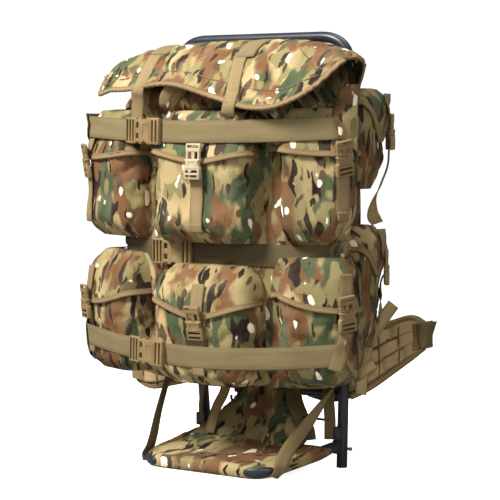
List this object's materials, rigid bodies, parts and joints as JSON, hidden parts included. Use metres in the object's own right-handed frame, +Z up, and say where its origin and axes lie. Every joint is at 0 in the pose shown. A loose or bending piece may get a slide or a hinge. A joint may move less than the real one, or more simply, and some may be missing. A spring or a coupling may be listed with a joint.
{
  "type": "military rucksack on a tube frame",
  "caption": "Camouflage rucksack with front pockets, side pouches and compression straps on a black tube frame with a fold-down shelf, for carrying heavy loads on the back.",
  "frame": {"origin": "middle of the bounding box's bottom face, on the floor", "axes": "+Z up, -Y towards the pockets, +X to the viewer's right when facing the pockets"},
  "size_m": [0.6676, 0.3288, 0.7575],
  "materials": {
    "camouflage": "coated nylon cloth with a blotched camouflage print",
    "webbing": "woven tan webbing",
    "plastic": "moulded tan plastic",
    "tube": "black satin powder coat"
  },
  "bodies": {
    "root": {"belt_strap_left": "webbing", "belt_strap_right": "webbing", "frame": "tube", "hip_belt": "camouflage", "lid": "camouflage", "lid_strap_left": "webbing", "lid_strap_right": "webbing", "lower_buckle": "plastic", "lower_centre_buckle": "plastic", "lower_centre_flap": "camouflage", "lower_centre_pocket": "camouflage", "lower_centre_strap": "webbing", "lower_left_buckle": "plastic", "lower_left_flap": "camouflage", "lower_left_pocket": "camouflage", "lower_left_strap": "webbing", "lower_right_buckle": "plastic", "lower_right_flap": "camouflage", "lower_right_pocket": "camouflage", "lower_right_strap": "webbing", "lower_side_left_fastener": "webbing", "lower_side_left_flap": "camouflage", "lower_side_left_pouch": "camouflage", "lower_side_right_fastener": "webbing", "lower_side_right_flap": "camouflage", "lower_side_right_pouch": "camouflage", "lower_strap": "webbing", "main_bag": "camouflage", "middle_buckle": "plastic", "middle_strap": "webbing", "shelf_apron": "camouflage", "shelf_cover": "camouflage", "shelf_strap_left": "webbing", "shelf_strap_right": "webbing", "shelf_tube": "tube", "shoulder_strap_left": "camouflage", "shoulder_strap_right": "camouflage", "upper_buckle": "plastic", "upper_centre_buckle": "plastic", "upper_centre_flap": "camouflage", "upper_centre_pocket": "camouflage", "upper_centre_strap": "webbing", "upper_left_buckle": "plastic", "upper_left_flap": "camouflage", "upper_left_pocket": "camouflage", "upper_left_strap": "webbing", "upper_right_buckle": "plastic", "upper_right_flap": "camouflage", "upper_right_pocket": "camouflage", "upper_right_strap": "webbing", "upper_side_left_fastener": "webbing", "upper_side_left_flap": "camouflage", "upper_side_left_pouch": "camouflage", "upper_side_right_fastener": "webbing", "upper_side_right_flap": "camouflage", "upper_side_right_pouch": "camouflage", "upper_strap": "webbing"}
  },
  "joints": []
}
